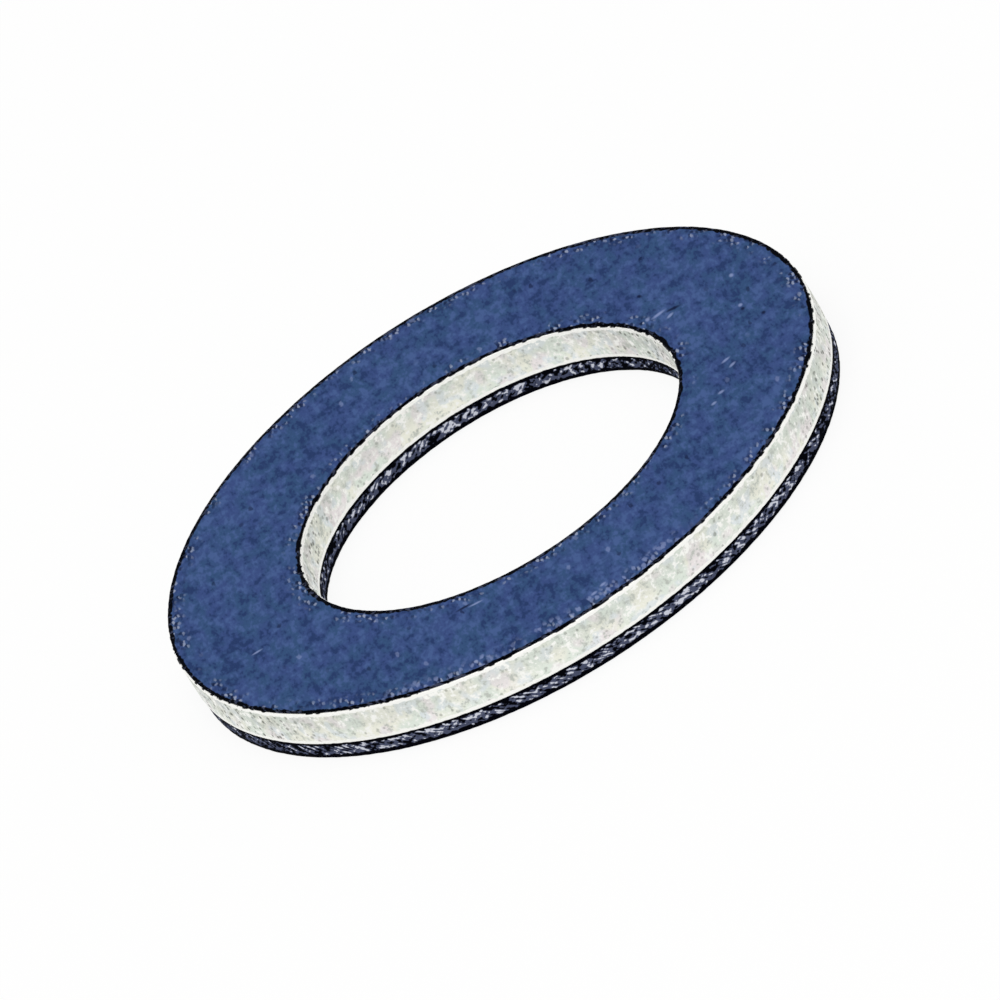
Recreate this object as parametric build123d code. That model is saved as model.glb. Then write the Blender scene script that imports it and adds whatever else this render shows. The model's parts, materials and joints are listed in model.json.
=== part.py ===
from build123d import *
import os

# Bonded sealing washer: a stamped metal ring with a rubber facing bonded to each side.
# Millimetres, +Z up. The origin is on the axis, in the plane that the washer rests on.

# Metal core
outside_diameter = 24.0       # over the metal, the widest part of the washer
bore_diameter = 14.0          # clears an M14 thread, whose crests reach 13.97
core_thickness = 1.30
roll_over_width = 0.04        # the upper rims are drawn down by the punch, across this width
roll_over_depth = 0.02
edge_break = 0.02             # bevel that takes the burr off the lower rims

# Rubber facings
upper_facing_thickness = 0.12
upper_shoulder_width = 0.42   # band at each rim where the upper face falls away
upper_shoulder_drop = 0.02    # how far it has fallen where the lip begins
upper_lip_width = 0.06        # rounded lip between the shoulder and the cut edge
upper_lip_depth = 0.03
lower_facing_thickness = 0.68
lower_shoulder_width = 0.50
lower_shoulder_drop = 0.02
lower_lip_width = 0.06
lower_lip_depth = 0.05
lower_edge_taper = 0.01       # how far the lower facing's cut edge leans in by its lip
lower_bond_bevel = 0.06       # bevel on the lower facing's rims where they meet the metal
bond_ledge = 0.01             # flat metal left bare outside each facing

# What follows from those sizes
outer_radius = outside_diameter / 2
bore_radius = bore_diameter / 2
middle_radius = (outer_radius + bore_radius) / 2
lower_bond_z = lower_facing_thickness
upper_bond_z = lower_bond_z + core_thickness


def ring_from_outer_half(draw_outer_half):
    """Mirror the outer half of a section across the ring's middle and turn it about the axis."""
    with BuildPart() as ring:
        with BuildSketch(Plane.XZ):
            with BuildLine():
                draw_outer_half()
                mirror(about=Plane.YZ.offset(middle_radius))
            make_face()
        revolve(axis=Axis.Z)
    return ring.part


def draw_core_half():
    """The metal's section: bevelled foot, straight wall, rolled-over head."""
    foot = Line((middle_radius, lower_bond_z), (outer_radius - edge_break, lower_bond_z))
    bevel = Line(foot @ 1, (outer_radius, lower_bond_z + edge_break))
    wall = Line(bevel @ 1, (outer_radius, upper_bond_z - roll_over_depth))
    head = Line((middle_radius, upper_bond_z), (outer_radius - roll_over_width, upper_bond_z))
    TangentArc(head @ 1, wall @ 1, tangent=head % 1)


def draw_free_side(rim_radius, thickness, shoulder_width, shoulder_drop, lip_width, lip_depth):
    """A facing's flat crown, the shoulder where it falls away, and the rounded lip at its rim."""
    crown = Line((middle_radius, thickness), (rim_radius - shoulder_width, thickness))
    shoulder = Line(crown @ 1, (rim_radius - lip_width, thickness - shoulder_drop))
    return TangentArc(shoulder @ 1, (rim_radius, thickness - shoulder_drop - lip_depth), tangent=shoulder % 1)


def draw_upper_facing_half():
    """The thin facing, with a straight cut edge down to its bond at height zero."""
    rim_radius = outer_radius - roll_over_width - bond_ledge
    lip = draw_free_side(rim_radius, upper_facing_thickness, upper_shoulder_width,
                         upper_shoulder_drop, upper_lip_width, upper_lip_depth)
    Polyline(lip @ 1, (rim_radius, 0), (middle_radius, 0))


def draw_lower_facing_half():
    """The thick facing, drawn with its free side up and its bond at height zero."""
    rim_radius = outer_radius - edge_break - bond_ledge
    lip = draw_free_side(rim_radius - lower_edge_taper, lower_facing_thickness, lower_shoulder_width,
                         lower_shoulder_drop, lower_lip_width, lower_lip_depth)
    Polyline(lip @ 1, (rim_radius, lower_bond_bevel),
             (rim_radius - lower_bond_bevel, 0), (middle_radius, 0))


core_ring = ring_from_outer_half(draw_core_half)
upper_facing = Pos(0, 0, upper_bond_z) * ring_from_outer_half(draw_upper_facing_half)
lower_facing = Pos(0, 0, lower_bond_z) * mirror(ring_from_outer_half(draw_lower_facing_half), about=Plane.XY)

os.makedirs("parts", exist_ok=True)
for name, solid in (
    ("upper_facing", upper_facing),
    ("core_ring", core_ring),
    ("lower_facing", lower_facing),
):
    solid.label = name
    export_step(solid, f"parts/{name}.step")
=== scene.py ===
import json
import math
import bmesh
import bpy
from mathutils import Matrix, Vector, noise


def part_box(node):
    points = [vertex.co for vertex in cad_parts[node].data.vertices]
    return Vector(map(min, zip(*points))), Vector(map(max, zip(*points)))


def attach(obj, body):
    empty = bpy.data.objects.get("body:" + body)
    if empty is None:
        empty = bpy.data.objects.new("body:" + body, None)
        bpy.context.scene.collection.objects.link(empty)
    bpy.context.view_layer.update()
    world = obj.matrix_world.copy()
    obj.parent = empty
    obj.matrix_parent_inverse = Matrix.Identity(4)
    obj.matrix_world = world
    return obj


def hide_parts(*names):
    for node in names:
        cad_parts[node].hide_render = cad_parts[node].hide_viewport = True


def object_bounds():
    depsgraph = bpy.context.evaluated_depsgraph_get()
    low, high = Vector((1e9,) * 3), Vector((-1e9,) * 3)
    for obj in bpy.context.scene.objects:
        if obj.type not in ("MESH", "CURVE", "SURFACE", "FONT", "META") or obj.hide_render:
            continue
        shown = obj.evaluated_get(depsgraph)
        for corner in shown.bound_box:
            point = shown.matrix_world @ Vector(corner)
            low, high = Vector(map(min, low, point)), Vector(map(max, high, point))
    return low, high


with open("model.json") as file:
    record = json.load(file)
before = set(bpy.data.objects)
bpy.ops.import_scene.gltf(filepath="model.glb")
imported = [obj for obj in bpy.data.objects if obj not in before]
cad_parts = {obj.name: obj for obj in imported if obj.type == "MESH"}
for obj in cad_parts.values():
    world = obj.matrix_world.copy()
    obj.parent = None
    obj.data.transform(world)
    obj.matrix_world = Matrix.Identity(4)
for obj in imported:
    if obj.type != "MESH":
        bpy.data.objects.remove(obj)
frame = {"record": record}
cadLow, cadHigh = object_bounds()
mm = 0.001
sameHeight = 0.0001 * mm
sameVertex = 0.001 * mm
print("frame loaded")

# heights and radii that every piece shares, read from the frame
coreLow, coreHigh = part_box("core_ring")
upperLow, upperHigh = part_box("upper_facing")
lowerLow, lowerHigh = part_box("lower_facing")
boreRadius = next(m["dims"]["r_mm"] for m in frame["record"]["mounts"] if m["name"] == "bore") * mm
coreRadius = coreHigh.x
middleRadius = (coreRadius + boreRadius) / 2


def boreSide(radius):
    # the same distance from the ring's middle, on the bore's side
    return 2 * middleRadius - radius


def cloud(point, size, shift=0.0):
    # soft noise, about -1 to 1, with lumps of the given size
    return noise.noise(point / size + Vector((shift, shift, shift)))


def dents(point, size, shift=0.0):
    # the same noise from 0 to 1
    return 0.5 + 0.5 * cloud(point, size, shift)


def fade(value, start, end):
    # 0 at start, 1 at end, smooth between
    t = min(1.0, max(0.0, (value - start) / (end - start)))
    return t * t * (3 - 2 * t)


def fromRims(v, rim):
    # the way out of the nearer rim, and the distance in from it
    radius = v.co.xy.length
    outward = Vector((v.co.x, v.co.y, 0)) / radius
    side = 1 if radius > middleRadius else -1
    return outward * side, min(rim - radius, radius - boreSide(rim))


def turnedRing(corners, rounds, bonds, longestStep, steps, wedges=12):
    # a closed section with rounded corners and even short edges, turned once round the axis
    bm = bmesh.new()
    pen = [bm.verts.new((radius, 0, height)) for radius, height in corners]
    bm.faces.new(pen)
    for index, (offset, segments) in rounds.items():
        bmesh.ops.bevel(bm, geom=[pen[index]], offset=offset, offset_type='OFFSET',
                        segments=segments, profile=0.5, affect='VERTICES', material=-1)
    bmesh.ops.delete(bm, geom=bm.faces[:], context='FACES_ONLY')
    for edge in bm.edges[:]:
        bonded = any(all(abs(v.co.z - bond) < sameHeight for v in edge.verts) for bond in bonds)
        cuts = 1 if bonded else int(edge.calc_length() / longestStep)
        if cuts:
            bmesh.ops.subdivide_edges(bm, edges=[edge], cuts=cuts)
    # one wedge is spun, then repeated, which is far quicker than one long spin
    wedge = 2 * math.pi / wedges
    around = {"cent": (0, 0, 0), "axis": (0, 0, 1), "dvec": (0, 0, 0)}
    bmesh.ops.spin(bm, geom=bm.verts[:] + bm.edges[:], angle=wedge, steps=steps // wedges, **around)
    bmesh.ops.spin(bm, geom=bm.verts[:] + bm.edges[:] + bm.faces[:], angle=wedge * (wedges - 1),
                   steps=wedges - 1, use_duplicate=True, **around)
    bmesh.ops.remove_doubles(bm, verts=bm.verts[:], dist=sameVertex)
    return bm


def finishPiece(bm, name, material, node):
    bmesh.ops.recalc_face_normals(bm, faces=bm.faces[:])
    for face in bm.faces:
        face.smooth = True
    mesh = bpy.data.meshes.new(name)
    bm.to_mesh(mesh)
    bm.free()
    mesh.materials.append(material)
    piece = bpy.data.objects.new(name, mesh)
    bpy.context.scene.collection.objects.link(piece)
    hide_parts(node)
    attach(piece, "root")
    print(name, len(mesh.polygons), "faces")


# shader helpers


def tint(red, green, blue):
    # a display colour, 0 to 255, as the linear colour a shader takes
    def linear(value):
        value /= 255
        return value / 12.92 if value <= 0.04045 else ((value + 0.055) / 1.055) ** 2.4
    return (linear(red), linear(green), linear(blue), 1.0)


def fillSocket(tree, socket, value):
    # a socket is linked, anything else is its plain value
    if isinstance(value, bpy.types.NodeSocket):
        tree.links.new(value, socket)
    else:
        socket.default_value = value


def addNode(tree, kind, inputs=None, **settings):
    made = tree.nodes.new(kind)
    for key, value in settings.items():
        setattr(made, key, value)
    for key, value in (inputs or {}).items():
        fillSocket(tree, made.inputs[key], value)
    return made


def calc(tree, operation, first, second=0.0, third=0.0):
    inputs = {0: first, 1: second, 2: third}
    return addNode(tree, "ShaderNodeMath", inputs, operation=operation).outputs[0]


def product(tree, *values):
    total = values[0]
    for value in values[1:]:
        total = calc(tree, 'MULTIPLY', total, value)
    return total


def highest(tree, *values):
    total = values[0]
    for value in values[1:]:
        total = calc(tree, 'MAXIMUM', total, value)
    return total


def summed(tree, start, *parts):
    # start, plus each value times its share
    for value, share in parts:
        start = calc(tree, 'MULTIPLY_ADD', value, share, start)
    return start


def ramp(tree, value, low, high, toLow=0.0, toHigh=1.0):
    made = addNode(tree, "ShaderNodeMapRange", {"Value": value, "From Min": low, "From Max": high,
                                                "To Min": toLow, "To Max": toHigh})
    made.interpolation_type = 'SMOOTHSTEP'
    return made.outputs["Result"]


def blendColour(tree, factor, first, second):
    # a colour Mix node has its factor on socket 0 and its two colours on sockets 6 and 7
    inputs = {0: factor, 6: first, 7: second}
    return addNode(tree, "ShaderNodeMix", inputs, data_type='RGBA').outputs[2]


def sway(tree, value, reach):
    # a soft noise as a shift of up to that reach either way
    return ramp(tree, value, 0.3, 0.7, -reach, reach)


def moved(tree, place, offset=(0, 0, 0), scale=(1, 1, 1)):
    return addNode(tree, "ShaderNodeMapping", {"Vector": place, "Location": offset,
                                               "Scale": scale}).outputs[0]


def axisOf(tree, place, axis):
    return addNode(tree, "ShaderNodeSeparateXYZ", {0: place}).outputs[axis]


def flatLength(tree, place):
    # distance from the washer's axis
    flat = moved(tree, place, scale=(1, 1, 0))
    return addNode(tree, "ShaderNodeVectorMath", {0: flat}, operation='LENGTH').outputs["Value"]


def gapBetween(tree, value, low, high):
    # distance in from the nearer of two borders
    return calc(tree, 'MINIMUM', calc(tree, 'SUBTRACT', high, value),
                calc(tree, 'SUBTRACT', value, low))


def towardsEnds(tree, place, start=0.66, end=0.92):
    # 1 at the two ends along X, 0 between them; painted shade darkens the walls there, and more
    # dark specks lie there on the metal
    across = calc(tree, 'ABSOLUTE', axisOf(tree, place, "X"))
    return ramp(tree, calc(tree, 'DIVIDE', across, flatLength(tree, place)), start, end)


def noiseAt(tree, place, scale, detail, roughness, output="Fac"):
    return addNode(tree, "ShaderNodeTexNoise", {"Vector": place, "Scale": scale, "Detail": detail,
                                                "Roughness": roughness}).outputs[output]


def specksAt(tree, place, scale, reach, share, scatter=1.0, dimensions='3D'):
    # round specks in a share of the cells of a field of scattered points
    inputs = {"Vector": place, "Scale": scale, "Randomness": scatter}
    cells = addNode(tree, "ShaderNodeTexVoronoi", inputs, voronoi_dimensions=dimensions)
    chance = addNode(tree, "ShaderNodeSeparateColor", {0: cells.outputs["Color"]}).outputs[0]
    strength = ramp(tree, chance, share, share * 0.4)
    return product(tree, strength, ramp(tree, cells.outputs["Distance"], reach, reach * 0.45))


def marksAt(tree, place, marks, tone):
    # short strokes on a level face, each fading at its border
    strokes = []
    for x, y, length, width, turn, kind in marks:
        if kind != tone:
            continue
        local = addNode(tree, "ShaderNodeMapping", {"Vector": place, "Location": (x, y, 0),
                                                    "Rotation": (0, 0, math.radians(turn)),
                                                    "Scale": (length / 2, width / 2, 1)},
                        vector_type='TEXTURE').outputs[0]
        strokes.append(ramp(tree, flatLength(tree, local), 1.2, 0.3))
    return highest(tree, *strokes)


def startMaterial(name):
    # the shader tree, with object coordinates in mm
    material = bpy.data.materials.new(name)
    material.use_nodes = True
    tree = material.node_tree
    coords = addNode(tree, "ShaderNodeTexCoord").outputs["Object"]
    place = moved(tree, coords, scale=(1 / mm, 1 / mm, 1 / mm))
    return material, tree, place, axisOf(tree, place, "Z")


def closeMaterial(tree, colour, roughness, height, relief):
    shader = tree.nodes["Principled BSDF"]
    bump = addNode(tree, "ShaderNodeBump", {"Height": height, "Distance": relief, "Strength": 1.0})
    tree.links.new(colour, shader.inputs["Base Color"])
    tree.links.new(roughness, shader.inputs["Roughness"])
    tree.links.new(bump.outputs[0], shader.inputs["Normal"])
    return shader


# rubber finish, shared by both facings

rubberLook = {
    "tealBlue": tint(53, 80, 120),
    "violetBlue": tint(58, 77, 127),
    "deepBlue": tint(40, 59, 102),
    "paleBlue": tint(70, 93, 142),
    # pale rubbed marks, and the painted highlight on the -Y side
    "scuffAndHighlight": tint(144, 158, 201),
    "fray": tint(156, 166, 190),
    "pit": tint(16, 23, 52),
    "edgeBlack": tint(3, 4, 10),
    "edgeSlate": tint(76, 82, 106),
    "edgeStrand": tint(208, 211, 224),
    # noises: lumps in each mm, layers of detail, roughness
    "hue": (1.4, 2.0, 0.6),
    "patches": (0.4, 1.0, 0.5),
    "mottle": (3.0, 2.0, 0.6),
    "grain": (8.0, 2.0, 0.6),
    "strokes": (3.0, 1.0, 0.5),
    "wander": (5.5, 1.0, 0.5),
    "jitter": (7.0, 1.0, 0.5),
    "clusters": (0.8, 1.0, 0.5),
    "strands": (5.2, 1.0, 0.5),
    # the sheet's tone
    "sheetGrain": 0.48,      # the mottling is longer along Y, as rolled sheet is
    "strokeStretch": (0.35, 0.9, 1),
    "mottleShare": 0.52,
    "grainShare": 0.34,
    "strokeShare": 0.14,
    "patchShade": 0.02,      # how far the soft patches shift the tone
    # specks: cells in each mm, reach in cells, share of the cells, scatter
    "pits": {"scale": 1.7, "reach": 0.17, "share": 0.12},
    "scuffs": {"scale": 1.45, "reach": 0.15, "share": 0.12},
    "frayPale": {"scale": 5.5, "reach": 0.36, "share": 0.7, "scatter": 0.8},
    "frayDark": {"scale": 5.5, "reach": 0.5, "share": 1.1, "scatter": 0.8},
    "litRimSpecks": {"scale": 4.4, "reach": 0.42, "share": 1.1},
    "speckJitter": 0.16,     # how far a speck's outline strays, mm
    "frayTurn": 0.56,        # turn of the rows of flecks, radians
    "frayShift": 0.09,       # how far each dark fleck lies from its pale one, mm
    # rims of the face
    "rimWidth": 0.125,       # dark band at each rim, mm
    "rimSoftness": 0.02,
    "rimShift": 0.10,       # how far the dark band's middle lies off the axis towards -Y, which widens it at +Y on the outer rim and at -Y on the inner rim, mm
    "rimWander": 0.035,
    "lipGap": (0.035, 0.015),  # every rim is black this close to its cut edge, mm
    "frayWidth": 0.75,       # flecked band inside the rim, mm
    "litRimWidth": 0.95,       # painted highlight: paler specked band inside the outer rim on the -Y side, mm
    "litSideStart": -9.6,       # where that side starts and is full, along Y, mm
    "litSideFull": -11.0,
    "litSideLean": 0.1,         # how far that side is turned towards -X
    # torn edge
    "lipBlackAndShadow": 0.18,        # height of the black lip under the thick facing's torn edge, partly the rubber's own black and partly painted shadow where it meets the floor, mm
    "bondBlack": 0.11,       # height of the black line by its bond, mm
    "bandSoftness": 0.03,
    "edgeEndShade": 0.055,       # painted shade: how much darker the torn edge is towards the two ends
    "edgeLean": 0.13,        # turn of the strands for each mm of height, radians
    "bondRough": 0.05,       # how much rougher the tear is by the bond than by the lip
    "roughness": (0.66, 0.84),
    "specular": 0.01,        # matt rubber, so that the black stays black
    "relief": 0.012 * mm,
}

# wear on the upper face, in mm: middle x and y, length, width, turn in degrees, tone
marks = [
    (7.4, 2.6, 0.60, 0.21, 8, "pale"),
    (7.9, 2.4, 0.65, 0.22, -14, "dark"),
    (7.7, 2.1, 0.35, 0.20, 30, "pale"),
    (7.0, 2.7, 0.18, 0.30, 0, "pale"),
    (8.4, -2.6, 0.40, 0.18, 16, "pale"),
    (8.5, -3.1, 0.35, 0.18, 30, "pale"),
    (7.7, -4.3, 0.28, 0.20, 5, "pale"),
    (7.3, -4.7, 0.25, 0.20, 25, "pale"),
    (10.1, 2.2, 0.18, 0.30, 0, "pale"),
    (9.8, 0.1, 0.18, 0.26, 0, "pale"),
    (9.8, -0.2, 0.18, 0.28, 0, "dark"),
    (10.3, -1.2, 0.16, 0.26, 0, "dark"),
    (7.2, 4.4, 0.16, 0.30, 15, "dark"),
    (-9.6, -2.4, 0.45, 0.14, -3, "pale"),
    (-3.1, -7.4, 0.70, 0.18, -7, "dark"),
    (-2.7, -7.6, 0.55, 0.14, -12, "pale"),
    (0.7, -11.3, 0.28, 0.20, 13, "pale"),
    (1.1, -11.1, 0.28, 0.20, 13, "pale"),
]


def mottleSheet(tree, look, place, sheet):
    # blue in soft patches, then mottling, strokes and fine grain from deep to pale
    hue = noiseAt(tree, moved(tree, sheet, (31, 7, 3)), *look["hue"])
    colour = blendColour(tree, ramp(tree, hue, 0.36, 0.64), look["tealBlue"], look["violetBlue"])
    patches = noiseAt(tree, sheet, *look["patches"])
    shade = ramp(tree, patches, 0.35, 0.65, -look["patchShade"], look["patchShade"])
    mottle = noiseAt(tree, moved(tree, sheet, (3, 17, 5)), *look["mottle"])
    grain = noiseAt(tree, sheet, *look["grain"])
    strokes = noiseAt(tree, moved(tree, place, (1, 1, 1), look["strokeStretch"]), *look["strokes"])
    tone = summed(tree, shade, (strokes, look["strokeShare"]), (grain, look["grainShare"]),
                  (mottle, look["mottleShare"]))
    colour = blendColour(tree, ramp(tree, tone, 0.50, 0.385), colour, look["deepBlue"])
    colour = blendColour(tree, ramp(tree, tone, 0.50, 0.62), colour, look["paleBlue"])
    return colour, mottle, grain


def wearFace(tree, look, colour, place, sheet, rimGap, upper):
    # scattered specks, rows of them where the die frayed the rims, and a paler specked band on the
    # -Y side that is painted highlight
    jitter = noiseAt(tree, sheet, *look["jitter"], output="Color")
    spread = (look["speckJitter"], look["speckJitter"], 0)
    torn = addNode(tree, "ShaderNodeVectorMath", {0: jitter, 1: spread, 2: sheet},
                   operation='MULTIPLY_ADD').outputs[0]
    pits = specksAt(tree, moved(tree, torn, (2, 5, 0)), **look["pits"], dimensions='2D')
    scuffs = specksAt(tree, moved(tree, torn, (5, 9, 0)), **look["scuffs"], dimensions='2D')
    clusters = noiseAt(tree, place, *look["clusters"])
    fray = product(tree, ramp(tree, rimGap, look["frayWidth"], look["frayWidth"] * 0.3),
                   ramp(tree, clusters, 0.40, 0.54))
    rows = addNode(tree, "ShaderNodeMapping", {"Vector": torn,
                                               "Rotation": (0, 0, look["frayTurn"])}).outputs[0]
    besideRows = moved(tree, rows, (look["frayShift"], 0, 0))
    frayPale = product(tree, fray, specksAt(tree, rows, **look["frayPale"], dimensions='2D'))
    frayDark = product(tree, fray, specksAt(tree, besideRows, **look["frayDark"], dimensions='2D'))
    # painted highlight: paler specks in a band inside the outer rim on the -Y side
    side = summed(tree, axisOf(tree, place, "Y"), (axisOf(tree, place, "X"), look["litSideLean"]))
    wearAndPaintedLight = product(tree, ramp(tree, side, look["litSideStart"], look["litSideFull"]),
                   ramp(tree, rimGap, look["litRimWidth"], look["litRimWidth"] * 0.6),
                   specksAt(tree, torn, **look["litRimSpecks"], dimensions='2D'),
                   ramp(tree, clusters, 0.36, 0.50, 0.35, 1.0))
    dark = highest(tree, product(tree, marksAt(tree, place, marks, "dark"), upper),
                   product(tree, pits, 0.7), frayDark)
    pale = highest(tree, product(tree, marksAt(tree, place, marks, "pale"), upper),
                   product(tree, scuffs, 0.5), product(tree, wearAndPaintedLight, 0.8))
    colour = blendColour(tree, product(tree, dark, 0.85), colour, look["pit"])
    colour = blendColour(tree, product(tree, pale, 0.65), colour, look["scuffAndHighlight"])
    return blendColour(tree, product(tree, frayPale, 0.8), colour, look["fray"]), dark


def tornEdge(tree, look, place, height, wander, bondLevel, upper):
    # black at the lip and the bond, with slate and pale strands torn across between them; the black
    # at the lip is partly painted shadow where the washer meets the floor
    strands = []
    for lean, shift in ((look["edgeLean"], 0), (-look["edgeLean"] * 0.7, 40)):
        upright = moved(tree, place, (0, 0, shift))
        turned = addNode(tree, "ShaderNodeVectorRotate", {"Vector": upright,
                                                          "Angle": product(tree, height, lean)},
                         rotation_type='Z_AXIS').outputs[0]
        strands.append(noiseAt(tree, turned, *look["strands"]))
    # painted shade: the weave drops towards the two ends, which leaves the torn edge darker there
    weave = summed(tree, product(tree, strands[1], 0.4), (strands[0], 0.6),
                   (towardsEnds(tree, place), -look["edgeEndShade"]))
    edgeHeight = calc(tree, 'ADD', height, wander)
    lipTop, bandTop = look["lipBlackAndShadow"], bondLevel - look["bondBlack"]
    band = product(tree, ramp(tree, edgeHeight, lipTop, lipTop + look["bandSoftness"]),
                   ramp(tree, edgeHeight, bandTop, bandTop - look["bandSoftness"]))
    rougher = ramp(tree, height, lipTop, bandTop, look["bondRough"], 0.0)
    slate = product(tree, band, ramp(tree, calc(tree, 'ADD', weave, rougher), 0.455, 0.495))
    thinSlate = product(tree, upper, ramp(tree, weave, 0.50, 0.60, 0.0, 0.6))
    edge = blendColour(tree, highest(tree, slate, thinSlate), look["edgeBlack"], look["edgeSlate"])
    strand = ramp(tree, summed(tree, weave, (rougher, -0.5)), 0.535, 0.575)
    return blendColour(tree, product(tree, band, strand), edge, look["edgeStrand"])


def makeRubber(look, rimOut, rimIn, bondHeight):
    material, tree, place, height = startMaterial("mottledRubber")
    sheet = moved(tree, place, scale=(1, look["sheetGrain"], 1))
    bondLevel = bondHeight / mm
    # 1 on the upper facing, 0 on the lower one
    upper = ramp(tree, height, bondLevel + 0.5, bondLevel + 0.6)
    colour, mottle, grain = mottleSheet(tree, look, place, sheet)
    # distance in from the nearest rim about a middle shifted off the axis, and from the true cut
    # edge
    wander = sway(tree, noiseAt(tree, sheet, *look["wander"]), look["rimWander"])
    shiftedRadius = flatLength(tree, moved(tree, place, (0, look["rimShift"], 0)))
    rimGap = calc(tree, 'ADD', gapBetween(tree, shiftedRadius, rimIn / mm, rimOut / mm), wander)
    cutGap = gapBetween(tree, flatLength(tree, place), rimIn / mm, rimOut / mm)
    colour, dark = wearFace(tree, look, colour, place, sheet, rimGap, upper)
    edge = tornEdge(tree, look, place, height, wander, bondLevel, upper)
    darkRimBand = ramp(tree, rimGap, look["rimWidth"] + look["rimSoftness"],
                   look["rimWidth"] - look["rimSoftness"])
    rim = highest(tree, darkRimBand, ramp(tree, cutGap, *look["lipGap"]))
    colour = blendColour(tree, rim, colour, edge)
    relief = summed(tree, mottle, (grain, 0.8), (dark, -0.8))
    roughness = ramp(tree, grain, 0.3, 0.7, *look["roughness"])
    shader = closeMaterial(tree, colour, roughness, relief, look["relief"])
    shader.inputs["Specular IOR Level"].default_value = look["specular"]
    return material


# metal finish

metalLook = {
    "cream": tint(243, 243, 230),
    "greenGrey": tint(228, 236, 226),
    "pinkGrey": tint(240, 234, 234),
    "coolGrey": tint(228, 235, 239),
    # darker grey for wear and dull sheared metal, and for the painted shade towards the two ends
    "wearAndPaintedLight": tint(186, 191, 183),
    # near white for pale polished blotches, and for the painted highlight bands at the rims
    "polishAndHighlight": tint(252, 252, 248),
    "fleck": tint(70, 74, 62),
    "flash": tint(6, 8, 14),
    # noises: lumps in each mm, layers of detail, roughness
    "greenClouds": (0.9, 1.0, 0.5),
    "pinkClouds": (1.2, 1.0, 0.5),
    "coolClouds": (1.8, 1.0, 0.5),
    "blotch": (3.4, 3.0, 0.65),
    "grain": (10.0, 2.0, 0.6),
    "wander": (5.0, 2.0, 0.6),
    "creep": (3.2, 1.0, 0.5),
    # specks: cells in each mm, reach in cells, share of the cells
    "nicks": {"scale": 2.2, "reach": 0.21, "share": 0.45},
    "rimNicks": {"scale": 5.0, "reach": 0.36, "share": 0.4},
    "grit": {"scale": 5.5, "reach": 0.52, "share": 0.5},
    "blotchShare": 0.7,      # what each noise adds to the unevenness
    "grainShare": 0.3,
    "shearDull": 0.28,       # how dull the sheared part of the wall is
    "wallEndShade": 0.20,        # painted shade: how much darker the wall is towards the two ends
    "shearHeight": 0.6,      # height of the broken part of the wall, under the sheared part, mm
    "shearFade": 0.2,
    "rimHighlightBand": (0.15, 0.11),  # where the painted highlight band beside each rim fades, mm
    "rimWander": 0.03,
    "flashHeight": 0.012,    # how far the black bond has crept over each rim, mm
    "flashBreak": 0.045,     # how far the creep falls short where it is missing, mm
    "roughness": (0.40, 0.58),
    "metallic": 0.7,
    "relief": 0.006 * mm,
}


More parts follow.
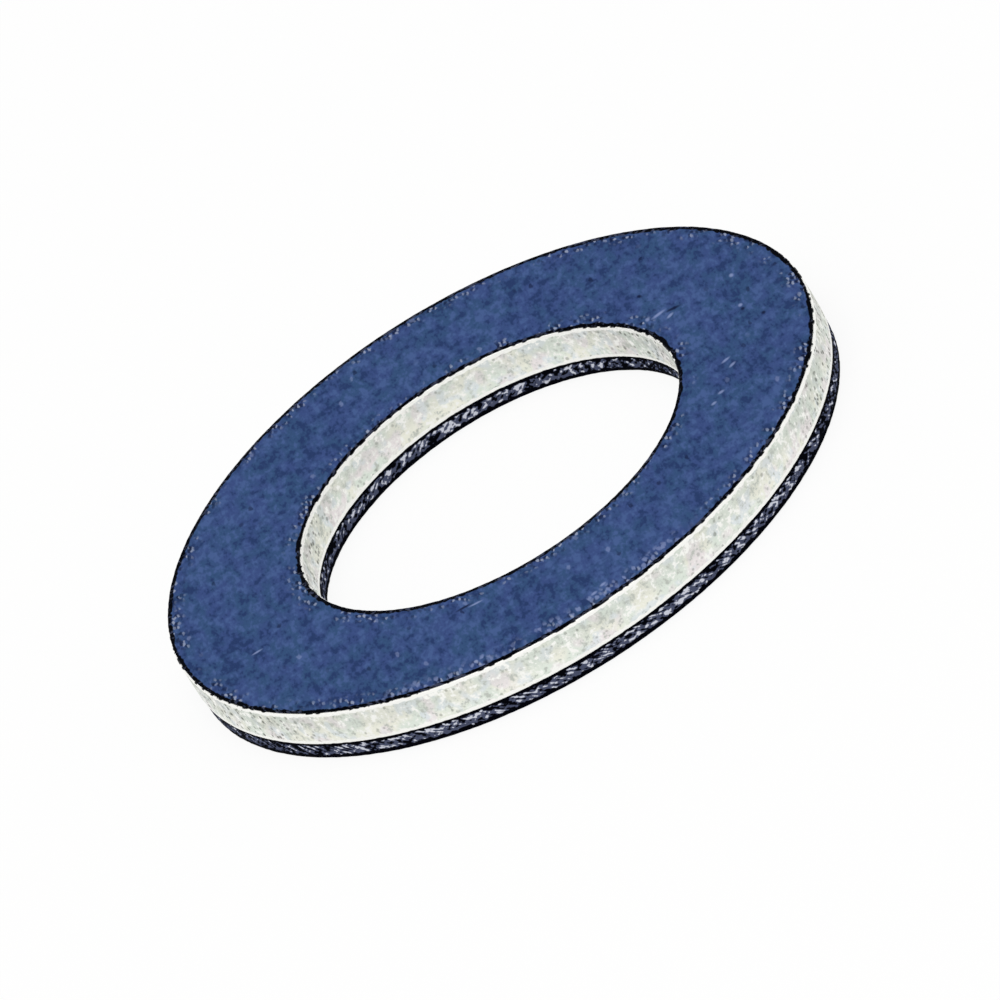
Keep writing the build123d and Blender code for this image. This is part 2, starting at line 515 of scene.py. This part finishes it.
def makeMetal(look, low, high):
    material, tree, place, height = startMaterial("stampedMetal")
    # cloudy oxide tones
    green = noiseAt(tree, place, *look["greenClouds"])
    pink = noiseAt(tree, moved(tree, place, (13, 4, 21)), *look["pinkClouds"])
    cool = noiseAt(tree, moved(tree, place, (2, 31, 8)), *look["coolClouds"])
    colour = blendColour(tree, ramp(tree, green, 0.40, 0.60), look["greenGrey"], look["cream"])
    colour = blendColour(tree, ramp(tree, pink, 0.50, 0.64), colour, look["pinkGrey"])
    colour = blendColour(tree, ramp(tree, cool, 0.52, 0.66, 0.0, 0.8), colour, look["coolGrey"])
    # dull where it was sheared, painted shade towards the two ends, then blotches of wear and pale
    # polished ones
    shearLevel = low / mm + look["shearHeight"]
    shear = ramp(tree, height, shearLevel - look["shearFade"], shearLevel + look["shearFade"])
    # painted shade on the wall towards the two ends, also where the grit specks lie
    endShadeAndGrit = towardsEnds(tree, place)
    shearDullAndEndShade = summed(tree, product(tree, endShadeAndGrit, look["wallEndShade"]), (shear, look["shearDull"]))
    colour = blendColour(tree, shearDullAndEndShade, colour, look["wearAndPaintedLight"])
    blotch = noiseAt(tree, moved(tree, place, (7, 3, 9)), *look["blotch"])
    grain = noiseAt(tree, place, *look["grain"])
    rough = summed(tree, product(tree, grain, look["grainShare"]), (blotch, look["blotchShare"]))
    colour = blendColour(tree, ramp(tree, rough, 0.48, 0.36, 0.0, 0.85), colour, look["wearAndPaintedLight"])
    colour = blendColour(tree, ramp(tree, rough, 0.51, 0.62), colour, look["polishAndHighlight"])
    # dark nicks, more of them beside the rims and towards the two ends, and dark grit specks
    # towards the two ends
    rimGap = gapBetween(tree, height, low / mm, high / mm)
    beside = ramp(tree, rimGap, 0.48, 0.34, 0.25, 1.0)
    rimNicks = specksAt(tree, moved(tree, place, (4, 4, 4)), **look["rimNicks"])
    nicks = highest(tree, specksAt(tree, place, **look["nicks"]), product(tree, beside, rimNicks))
    grit = product(tree, endShadeAndGrit, specksAt(tree, moved(tree, place, (9, 2, 6)), **look["grit"]))
    flecks = highest(tree, grit, product(tree, nicks, ramp(tree, endShadeAndGrit, 0, 1, 0.5, 1.0)))
    colour = blendColour(tree, product(tree, flecks, 0.8), colour, look["fleck"])
    # painted highlight bands at the rims of the wall, under a thin flash of the bond
    wander = sway(tree, noiseAt(tree, place, *look["wander"]), look["rimWander"])
    rimHighlight = ramp(tree, calc(tree, 'ADD', rimGap, wander), *look["rimHighlightBand"])
    colour = blendColour(tree, rimHighlight, colour, look["polishAndHighlight"])
    creep = ramp(tree, noiseAt(tree, place, *look["creep"]), 0.35, 0.65,
                 -look["flashBreak"], look["flashHeight"])
    flash = ramp(tree, calc(tree, 'SUBTRACT', rimGap, creep), 0.02, 0.0)
    colour = blendColour(tree, flash, colour, look["flash"])
    relief = summed(tree, calc(tree, 'ADD', grain, blotch), (flecks, -1.0))
    roughness = ramp(tree, grain, 0.3, 0.7, *look["roughness"])
    shader = closeMaterial(tree, colour, roughness, relief, look["relief"])
    shader.inputs["Metallic"].default_value = look["metallic"]
    return material


rubber = makeRubber(rubberLook, upperHigh.x, boreSide(upperHigh.x), coreLow.z)
metal = makeMetal(metalLook, coreLow.z, coreHigh.z)
print("materials made")

# upper facing

upperSize = {
    "steps": 900,
    "longestStep": 0.075 * mm,
    "shoulderWidth": 0.42 * mm,
    "shoulderDrop": 0.02 * mm,
    "lip": 0.03 * mm,
    "lipSegments": 4,
    "waveDepth": 0.010 * mm,
    "waveLength": 0.9 * mm,
    "grainDepth": 0.006 * mm,
    "grainLength": 0.2 * mm,
    "grainShift": 7.3,
    "ragged": 0.014 * mm,    # how far the cut edge strays in and out
    "raggedLength": 0.17 * mm,
    "raggedShift": 3.1,
    "raggedReach": 0.25 * mm,
}


def makeUpperFacing(size):
    bond, top, rim = upperLow.z, upperHigh.z, upperHigh.x
    shoulder = rim - size["shoulderWidth"]
    lipHeight = top - size["shoulderDrop"]
    corners = [(boreSide(rim), bond), (rim, bond), (rim, lipHeight), (shoulder, top),
               (boreSide(shoulder), top), (boreSide(rim), lipHeight)]
    lipRound = (size["lip"], size["lipSegments"])
    bm = turnedRing(corners, {2: lipRound, 5: lipRound}, [bond], size["longestStep"], size["steps"])
    for v in bm.verts:
        wayOut, rimGap = fromRims(v, rim)
        lifted = fade(v.co.z, bond, lipHeight)
        sink = size["waveDepth"] * dents(v.co, size["waveLength"])
        sink += size["grainDepth"] * dents(v.co, size["grainLength"], size["grainShift"])
        near = 1 - fade(rimGap, 0, size["raggedReach"])
        wobble = size["ragged"] * cloud(v.co, size["raggedLength"], size["raggedShift"]) * near
        v.co.z -= sink * lifted
        v.co += wayOut * wobble
    finishPiece(bm, "upperFacingRubber", rubber, "upper_facing")


makeUpperFacing(upperSize)

# metal core

coreSize = {
    "steps": 900,
    "longestStep": 0.075 * mm,
    "rollOver": 0.03 * mm,
    "footBreak": 0.02 * mm,
    "roundSegments": 4,
    "drawDepth": 0.005 * mm,
    "drawLength": 0.12 * mm,
    "drawStretch": 8,        # the punch's draw marks are this much taller than they are wide
    "tearDepth": 0.010 * mm,
    "tearLength": 0.16 * mm,
    "tearShift": 5.7,
    "tearShare": 0.4,        # share of the wall's height that broke away instead of being sheared
    "tearFadeBelow": 0.15 * mm,
    "tearFadeAbove": 0.05 * mm,
}


def makeCore(size):
    low, high, rim = coreLow.z, coreHigh.z, coreRadius
    corners = [(boreSide(rim), low), (rim, low), (rim, high), (boreSide(rim), high)]
    foot = (size["footBreak"], size["roundSegments"])
    head = (size["rollOver"], size["roundSegments"])
    bm = turnedRing(corners, {0: foot, 1: foot, 2: head, 3: head}, [low, high],
                    size["longestStep"], size["steps"])
    tearTop = low + (high - low) * size["tearShare"]
    for v in bm.verts:
        wayOut, rimGap = fromRims(v, rim)
        if rimGap > size["rollOver"]:
            continue
        stretched = Vector((v.co.x, v.co.y, v.co.z / size["drawStretch"]))
        inset = size["drawDepth"] * dents(stretched, size["drawLength"])
        torn = 1 - fade(v.co.z, tearTop - size["tearFadeBelow"], tearTop + size["tearFadeAbove"])
        inset += torn * size["tearDepth"] * dents(v.co, size["tearLength"], size["tearShift"])
        v.co -= wayOut * inset
    finishPiece(bm, "coreRingMetal", metal, "core_ring")


makeCore(coreSize)

# lower facing

lowerSize = {
    "steps": 900,
    "longestStep": 0.085 * mm,
    "edgeTaper": 0.01 * mm,
    "shoulderWidth": 0.50 * mm,
    "shoulderDrop": 0.02 * mm,
    "lip": 0.05 * mm,
    "bondRound": 0.05 * mm,
    "lipSegments": 4,
    "waveDepth": 0.010 * mm,
    "waveLength": 0.9 * mm,
    "waveReach": (0.05 * mm, 0.2 * mm),  # the free face's waves die out between these heights
    "strandDepth": 0.025 * mm,
    "strandLength": 0.2 * mm,
    "strandLean": 130,       # turn about the axis for each metre of height, radians
    "ragged": 0.012 * mm,
    "raggedLength": 0.15 * mm,
    "raggedShift": 2.2,
    "edgeReach": (0.03 * mm, 0.16 * mm),  # the torn edge dies out between these distances in
}


def makeLowerFacing(size):
    bond, floorZ, rim = lowerHigh.z, lowerLow.z, lowerHigh.x
    lipRim = rim - size["edgeTaper"]
    shoulder = rim - size["shoulderWidth"]
    lipHeight = floorZ + size["shoulderDrop"]
    corners = [(boreSide(rim), bond), (rim, bond), (lipRim, lipHeight), (shoulder, floorZ),
               (boreSide(shoulder), floorZ), (boreSide(lipRim), lipHeight)]
    bondRound = (size["bondRound"], size["lipSegments"])
    lipRound = (size["lip"], size["lipSegments"])
    bm = turnedRing(corners, {0: bondRound, 1: bondRound, 2: lipRound, 5: lipRound}, [bond],
                    size["longestStep"], size["steps"])
    waveStart, waveEnd = size["waveReach"]
    for v in bm.verts:
        wayOut, rimGap = fromRims(v, rim)
        lean = v.co.z * size["strandLean"]
        turned = Vector((v.co.x * math.cos(lean) - v.co.y * math.sin(lean),
                         v.co.x * math.sin(lean) + v.co.y * math.cos(lean), v.co.z))
        onEdge = 1 - fade(rimGap, *size["edgeReach"])
        inset = size["strandDepth"] * dents(turned, size["strandLength"])
        inset += size["ragged"] * dents(v.co, size["raggedLength"], size["raggedShift"])
        lift = size["waveDepth"] * dents(v.co, size["waveLength"])
        v.co -= wayOut * inset * onEdge
        v.co.z += lift * (1 - fade(v.co.z, floorZ + waveStart, floorZ + waveEnd))
    finishPiece(bm, "lowerFacingRubber", rubber, "lower_facing")


makeLowerFacing(lowerSize)

# floor, light and camera

stageLook = {
    "floorHalf": 0.6,
    "floorDrop": 0.02 * mm,  # how far the floor lies under the washer
    "floorColour": (0.93, 0.93, 0.92, 1.0),
    "floorGlow": 0.90,       # share of plain white that a direct look at the floor sees
    "worldLevel": 0.84,
    "lampPower": 0.40,
    "lampSize": 0.30,
    "lampPlace": (-0.06, -0.20, 0.38),
}


def directLook(tree):
    # 1 where a surface is seen itself or in a gloss, 0 for the light that it throws
    path = addNode(tree, "ShaderNodeLightPath")
    return highest(tree, path.outputs["Is Camera Ray"], path.outputs["Is Glossy Ray"])


def makeStage(look):
    bm = bmesh.new()
    bmesh.ops.create_grid(bm, x_segments=1, y_segments=1, size=look["floorHalf"])
    bmesh.ops.translate(bm, verts=bm.verts[:], vec=(0, 0, cadLow.z - look["floorDrop"]))
    mesh = bpy.data.meshes.new("floor")
    bm.to_mesh(mesh)
    bm.free()
    floor = bpy.data.objects.new("floor", mesh)
    bpy.context.scene.collection.objects.link(floor)
    material = bpy.data.materials.new("palePaper")
    material.use_nodes = True
    tree = material.node_tree
    tree.nodes.remove(tree.nodes["Principled BSDF"])
    matte = addNode(tree, "ShaderNodeBsdfDiffuse", {"Color": look["floorColour"]})
    white = addNode(tree, "ShaderNodeEmission", {"Color": (1, 1, 1, 1), "Strength": 1.0})
    glow = product(tree, directLook(tree), look["floorGlow"])
    shaders = {0: glow, 1: matte.outputs[0], 2: white.outputs[0]}
    mixed = addNode(tree, "ShaderNodeMixShader", shaders)
    tree.links.new(mixed.outputs[0], tree.nodes["Material Output"].inputs["Surface"])
    mesh.materials.append(material)


def makeLight(look):
    world = bpy.data.worlds.new("studio")
    bpy.context.scene.world = world
    world.use_nodes = True
    tree = world.node_tree
    level = calc(tree, 'MULTIPLY_ADD', directLook(tree), 1 - look["worldLevel"], look["worldLevel"])
    tree.nodes["Background"].inputs["Color"].default_value = (1, 1, 1, 1)
    tree.links.new(level, tree.nodes["Background"].inputs["Strength"])
    lamp = bpy.data.lights.new("softbox", 'AREA')
    lamp.energy = look["lampPower"]
    lamp.size = look["lampSize"]
    holder = bpy.data.objects.new("softbox", lamp)
    holder.location = look["lampPlace"]
    holder.rotation_euler = (-Vector(look["lampPlace"])).to_track_quat('-Z', 'Y').to_euler()
    bpy.context.scene.collection.objects.link(holder)


viewOf = {
    "elevation": 28.04,      # degrees above the floor
    "roll": 32.24,           # turn of the picture, degrees
    "distance": 0.599,
    "lens": 659.0,
    "sensor": 36.0,
    "nearest": 0.01,
    "farthest": 10.0,
    "aimRight": -0.256 * mm,  # where the middle of the picture lies from the upper face's middle
    "aimUp": -1.165 * mm,
}


def makeCamera(view):
    up = math.radians(view["elevation"])
    roll = math.radians(view["roll"])
    right = Vector((1, 0, 0))
    above = Vector((0, math.sin(up), math.cos(up)))
    back = Vector((0, -math.cos(up), math.sin(up)))
    aim = Vector((0, 0, cadHigh.z)) + right * view["aimRight"] + above * view["aimUp"]
    turned = right * math.cos(roll) - above * math.sin(roll)
    tall = right * math.sin(roll) + above * math.cos(roll)
    data = bpy.data.cameras.new("camera")
    data.lens = view["lens"]
    data.sensor_width = view["sensor"]
    data.clip_start = view["nearest"]
    data.clip_end = view["farthest"]
    camera = bpy.data.objects.new("camera", data)
    bpy.context.scene.collection.objects.link(camera)
    place = aim + back * view["distance"]
    facing = Matrix((turned, tall, back)).transposed().to_4x4()
    camera.matrix_world = Matrix.Translation(place) @ facing
    bpy.context.scene.camera = camera


makeStage(stageLook)
makeLight(stageLook)
makeCamera(viewOf)
bpy.context.scene.view_settings.view_transform = 'Standard'
print("stage set")
